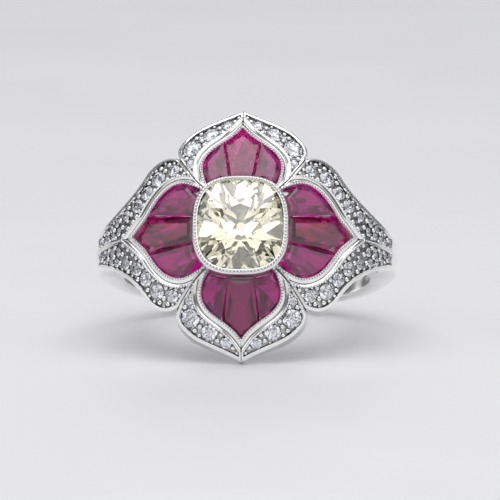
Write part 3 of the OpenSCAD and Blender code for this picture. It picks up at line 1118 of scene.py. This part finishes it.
def ruby(petal, place):
    """A step-cut ruby: a flat table, a border facet along each side, and a stepped back."""
    line, corners, borders = ruby_outline(petal, place)
    into = 1 if turns_left(line) else -1
    table = inset(line[corners], np.array(borders) * into)
    girdle = inset(line, RUBY_GAP * into)
    inner = np.empty_like(line)
    for k, (a, b) in enumerate(zip(corners, corners[1:] + [len(line)])):
        span = np.vstack([girdle[a:b], girdle[[b % len(line)]]])
        run = run_along(span)
        t = (run / run[-1])[:-1, None]
        inner[a:b] = table[k] + (table[(k + 1) % len(corners)] - table[k]) * t
    mirror = (-1 if place < 0 else 1, 1)
    girdle, inner = to_plan(petal, girdle * mirror), to_plan(petal, inner * mirror)
    c = girdle.mean(0)
    base, normal, _, _ = dome_frame(*c)

    def plane_z(p):
        return base.z - ((p[:, 0] - c[0]) * normal.x + (p[:, 1] - c[1]) * normal.y) / normal.z

    sink = RUBY_SINK + (plane_z(girdle) - on_dome(girdle)[:, 2]).max()
    steps = [(c + (girdle - c) * size, z) for size, z in RUBY_BACK]
    steps += [(girdle + (inner - girdle) * share, z) for share, z in RUBY_STEPS]
    solid = Solid()
    solid.loft([np.c_[p, plane_z(p) - sink + z] for p, z in steps], capped=True)
    return solid


# Materials

class Nodes:
    """The nodes of a material or world, with its coordinates."""

    def __init__(self, owner, coordinates="Object"):
        owner.use_nodes = True
        self.owner = owner
        self.tree = owner.node_tree
        self.where = self.add("TexCoord").outputs[coordinates]

    def add(self, kind, **values):
        return fill(self.tree.nodes.new("ShaderNode" + kind), **values)

    def link(self, source, node, socket):
        self.tree.links.new(source, node.inputs[socket])

    def noise(self, scale, detail=3.0, stretch=None):
        n = self.add("TexNoise", Scale=scale, Detail=detail)
        where = self.where
        if stretch:
            m = self.add("Mapping", Scale=stretch)
            self.link(where, m, "Vector")
            where = m.outputs["Vector"]
        self.link(where, n, "Vector")
        return n.outputs["Fac"]

    def ramp(self, fac, stops):
        r = self.add("ValToRGB")
        for e, (at, color) in zip(r.color_ramp.elements, stops):
            e.position = at
            e.color = (*color, 1)
        self.link(fac, r, "Fac")
        return r.outputs["Color"]

    def map_range(self, fac, low, high):
        """Noise spread between two values."""
        m = self.add("MapRange", From_Min=0.3, From_Max=0.7, To_Min=low, To_Max=high)
        self.link(fac, m, "Value")
        return m.outputs["Result"]


def fill(node, **values):
    """Sets a node's sockets. An underscore stands for a space in a socket's name."""
    for socket, value in values.items():
        node.inputs[socket.replace("_", " ")].default_value = value
    return node


def new_look(name, **values):
    look = Nodes(bpy.data.materials.new(name))
    return look, fill(look.tree.nodes["Principled BSDF"], **values)


# A Mix node's colour sockets
MIX_A, MIX_B, MIX_RESULT = 6, 7, 2
# Painted shade in crevices. Columns: how open the spot is, how much of the colour is left
CREVICE_SHADE = [(0.3, (0.18, 0.18, 0.18)), (0.75, (1, 1, 1))]


def painted_crevice_shade(look, tone):
    """A colour with painted shade: darkened where metal or stones are close by, as if shade fell
    there.
    """
    openness = look.add("AmbientOcclusion", Distance=0.2 * MM)
    openness.samples = 6
    shade = look.add("Mix", Factor=1.0)
    shade.data_type = "RGBA"
    shade.blend_type = "MULTIPLY"
    look.link(tone, shade, MIX_A)
    look.link(look.ramp(openness.outputs["AO"], CREVICE_SHADE), shade, MIX_B)
    return shade.outputs[MIX_RESULT]


def metal(name, light, dark, rough=(0.1, 0.2), marks=(9000, 0.12), shaded=True):
    """Polished white metal with faint brush marks and uneven polish; if shaded, with painted shade in
    its crevices.
    """
    look, shader = new_look(name, Metallic=1.0)
    tone = look.ramp(look.noise(900, 2), [(0.35, dark), (0.65, light)])
    look.link(painted_crevice_shade(look, tone) if shaded else tone, shader, "Base Color")
    smear = look.noise(2600, 4, (1, 1, 3))
    look.link(look.map_range(smear, *rough), shader, "Roughness")
    scale, strength = marks
    bump = look.add("Bump", Strength=strength, Distance=0.01 * MM)
    look.link(look.noise(scale, 5, (1, 2.5, 1)), bump, "Height")
    look.link(bump.outputs["Normal"], shader, "Normal")
    return look.owner


def gem(name, clear, shade, ior, scale, roughness):
    """A clear stone whose body colour drifts a little."""
    look, shader = new_look(name, Transmission_Weight=1.0, IOR=ior)
    look.link(look.ramp(look.noise(scale, 3), [(0.35, clear), (0.68, shade)]), shader, "Base Color")
    look.link(look.map_range(look.noise(scale * 6, 2), *roughness), shader, "Roughness")
    return look.owner


# The shaded metals carry painted shade in their crevices; platinum_seats and platinum_milgrain are
# unshaded copies of the same metal, kept brighter beside the rubies, on the collet's wall, the rails
# and the rims
BEAD_TONES = (0.98, 0.98, 0.97), (0.92, 0.92, 0.92)
BEAD_MARKS = (15000, 0.1)
PLATINUM = metal("platinum", (0.97, 0.97, 0.96), (0.92, 0.92, 0.92))
PLATINUM_SEATS = metal("platinum_seats", (0.95, 0.95, 0.94), (0.88, 0.88, 0.88), shaded=False)
# A darker grey copy of the metal, with painted crevice shade too: painted shade for recesses and the
# collet's lip
PLATINUM_PAINTED_SHADE = metal("platinum_painted_shade", (0.56, 0.56, 0.57), (0.44, 0.44, 0.45), (0.2, 0.32))
PLATINUM_BEADS = metal("platinum_beads", *BEAD_TONES, (0.08, 0.2), BEAD_MARKS)
PLATINUM_MILGRAIN = metal("platinum_milgrain", *BEAD_TONES, (0.12, 0.24), BEAD_MARKS, shaded=False)

RUBY = {"ior": 1.77, "scale": 700, "roughness": (0.07, 0.16)}
DIAMOND_IOR = 2.417
RUBY_PINK = gem("ruby", (0.47, 0.008, 0.235), (0.38, 0.006, 0.17), **RUBY)
RUBY_RED = gem("ruby_red", (0.68, 0.022, 0.25), (0.54, 0.014, 0.18), **RUBY)
RUBY_LIGHT = gem("ruby_light", (0.86, 0.025, 0.37), (0.76, 0.016, 0.28), **RUBY)
RUBY_DEEP = gem("ruby_deep", (0.3, 0.01, 0.12), (0.22, 0.006, 0.08), **RUBY)
PALE_DIAMOND = gem("centre_diamond", (1.0, 0.96, 0.74), (1.0, 0.94, 0.64),
                   DIAMOND_IOR, 500, (0.0, 0.012))
# The small diamonds' body is greyed blue to darken the pavé: painted shade, drifting at random
WHITE_DIAMOND = gem("small_diamond", (0.9, 0.92, 0.97), (0.7, 0.73, 0.79),
                    DIAMOND_IOR, 900, (0.0, 0.01))


# The ring

def refinish(obj, material, chosen):
    """Gives another metal to the faces whose middles, in the ring's frame, are chosen."""
    mesh = obj.data
    mesh.materials.append(material)
    back = np.array(TO_REST.inverted())
    where = np.array([face.center for face in mesh.polygons]) @ back[:3, :3].T + back[:3, 3]
    for face, ok in zip(mesh.polygons, chosen(where)):
        if ok:
            face.material_index = len(mesh.materials) - 1


def beside_rubies(p):
    return off_field(np.abs(p[:, :2])) < BY_FIELD


def in_recesses(p):
    """Where painted shade goes: in the small diamonds' channels and seats, and under the beads of the
    rubies' rims.
    """
    plan = np.abs(p[:, :2])
    df = off_field(plan)
    low = (channel_margin(plan) > WALL_W) | ((df > BY_FIELD) & (df < UNDER_BEADS))
    return low & (p[:, 2] > on_dome(plan)[:, 2] - CHANNEL_REACH)


UNDER_BEADS = 0.11
COLLET_WALL_TOP = COLLET_TOP - 0.3
COLLET_LIP_FLAT = COLLET_TOP - 0.125
WELD = 1e-4
RUBY_WELD = 1e-3
METAL_SMOOTH = 38
BEAD_SMOOTH = 60

mount = piece("mount_plate", plate().bmesh(WELD), PLATINUM, nodes=["mount"], smooth=METAL_SMOOTH)
refinish(mount, PLATINUM_SEATS, beside_rubies)
# Painted shade: a darker grey metal in the channels, the seats and under the rubies' rim beads
refinish(mount, PLATINUM_PAINTED_SHADE, in_recesses)
piece("gallery_rails", gallery().bmesh(WELD), PLATINUM_SEATS, smooth=METAL_SMOOTH)
bezel = piece("collet", collet().bmesh(WELD), PLATINUM, smooth=METAL_SMOOTH)
refinish(bezel, PLATINUM_SEATS, lambda p: p[:, 2] < COLLET_WALL_TOP)
# Painted shade on top of the collet's lip, dimming its reflection and darkening the gaps between its
# beads
refinish(bezel, PLATINUM_PAINTED_SHADE, lambda p: p[:, 2] > COLLET_LIP_FLAT)
for family, beads in milgrain().items():
    piece(family, beads.bmesh(), PLATINUM_MILGRAIN, smooth=BEAD_SMOOTH)
for family, beads in {"beads_of_shoulders": shoulder_beads(), "beads_of_collet": collet_beads(),
                      "setting_grains": grains()}.items():
    piece(family, beads.bmesh(), PLATINUM_BEADS, smooth=BEAD_SMOOTH)

SIDE_NAMES = {-1: "left", 0: "middle", 1: "right"}
MIDDLE_RUBIES = {"north": RUBY_LIGHT, "east": RUBY_RED, "south": RUBY_DEEP, "west": RUBY_RED}
for petal in ("north", "east", "south", "west"):
    for place, side in SIDE_NAMES.items():
        node = f"ruby_{petal}_{side}"
        body = RUBY_PINK if place else MIDDLE_RUBIES[petal]
        piece(f"{node}_cut", ruby(petal, place).bmesh(RUBY_WELD), body, [node])

TIP_STONES, SIDE_STONES = STONES[:len(NORTH_PAVE)], STONES[len(NORTH_PAVE):]
PETAL_STONES = {"north": (TIP_STONES, [(1, 1), (-1, 1)]), "south": (TIP_STONES, [(1, -1), (-1, -1)]),
                "east": (SIDE_STONES, [(1, 1), (1, -1)]), "west": (SIDE_STONES, [(-1, 1), (-1, -1)])}
for petal, (rows, sides) in PETAL_STONES.items():
    piece(f"diamonds_{petal}", pave_stones(rows, sides).bmesh(), WHITE_DIAMOND,
          [f"pave_{petal}"])

centre = brilliant(cushion(DIAMOND, 64), table_r=1.3, crown=0.95, girdle=0.05, depth=2.6,
                   lower=0.78, culet=0.24)
bmesh.ops.translate(centre, verts=centre.verts, vec=(0, 0, GIRDLE_Z))
piece("centre_diamond_cut", centre, PALE_DIAMOND, ["centre_diamond"])


# Floor, lights and camera

def floor():
    half = 1.2
    mesh = bpy.data.meshes.new("floor")
    mesh.from_pydata([(x * half, y * half, 0) for x, y in QUARTERS], [], [range(4)])
    look, shader = new_look("floor", Roughness=0.45)
    tone = look.ramp(look.noise(30, 2), [(0.3, (0.8, 0.8, 0.81)), (0.7, (0.84, 0.84, 0.85))])
    look.link(tone, shader, "Base Color")
    mesh.materials.append(look.owner)
    new_object("floor", mesh)


# Columns: place and size in metres, watts
SOFTBOXES = {"key": ((0.0, -0.42, 0.38), (0.5, 0.42), 0.96),
             "left": ((-0.575, -0.187, 0.25), (0.5, 0.42), 0.64),
             "right": ((0.553, -0.223, 0.27), (0.5, 0.42), 0.64),
             "back": ((0.0, 0.5, 0.3), (0.8, 0.3), 0.8),
             "top": ((0.0, -0.04, 0.55), (0.8, 0.4), 2.1)}
LIT_SPOT = Vector((0, 0, 0.008))


def softbox(name, place, size, watts):
    data = bpy.data.lights.new(name, "AREA")
    data.shape = "RECTANGLE"
    data.size, data.size_y = size
    data.energy = watts
    obj = new_object(name, data)
    obj.location = place
    obj.rotation_euler = (LIT_SPOT - Vector(place)).to_track_quat("-Z", "Y").to_euler()


def world():
    """A dim surrounding, slightly lighter overhead."""
    look = Nodes(bpy.data.worlds.new("studio"), "Generated")
    split = look.add("SeparateXYZ")
    look.link(look.where, split, "Vector")
    sky = look.ramp(split.outputs["Z"], [(0.0, (0.12, 0.12, 0.125)), (0.9, (0.14, 0.14, 0.15))])
    look.link(sky, look.tree.nodes["Background"], "Color")
    scene.world = look.owner


# The view that the ring was fitted in, in the ring's frame
VIEW_UP = radians(77.5)
VIEW_YAW = radians(2.2)
VIEW_ROLL = radians(0.5)
AIM = Vector((0, 0, 13.1))
AIM_RIGHT, AIM_UP = 0.66, -1.77
VIEW_DISTANCE = 400.0
FRAME_WIDTH = 34.01
SENSOR = 36.0


def camera():
    right = Vector((cos(VIEW_YAW), 0, -sin(VIEW_YAW)))
    up = Vector((sin(VIEW_YAW), 0, cos(VIEW_YAW))) * cos(VIEW_UP)
    up.y = sin(VIEW_UP)
    r = right * cos(VIEW_ROLL) + up * sin(VIEW_ROLL)
    u = up * cos(VIEW_ROLL) - right * sin(VIEW_ROLL)
    back = r.cross(u)
    spot = AIM + r * AIM_RIGHT + u * AIM_UP + back * VIEW_DISTANCE
    turn = LAY_DOWN.to_3x3() @ Matrix((r, u, back)).transposed()
    data = bpy.data.cameras.new("camera")
    data.sensor_width = SENSOR
    data.lens = SENSOR * VIEW_DISTANCE / FRAME_WIDTH
    data.clip_start = 0.01
    obj = new_object("camera", data)
    obj.matrix_world = Matrix.Translation(TO_REST @ spot) @ turn.to_4x4()
    bpy.context.scene.camera = obj


floor()
world()
for light, row in SOFTBOXES.items():
    softbox(light, *row)
camera()

cycles = scene.cycles
cycles.max_bounces = 24
cycles.transmission_bounces = 20
cycles.glossy_bounces = 8
scene.view_settings.view_transform = "Standard"
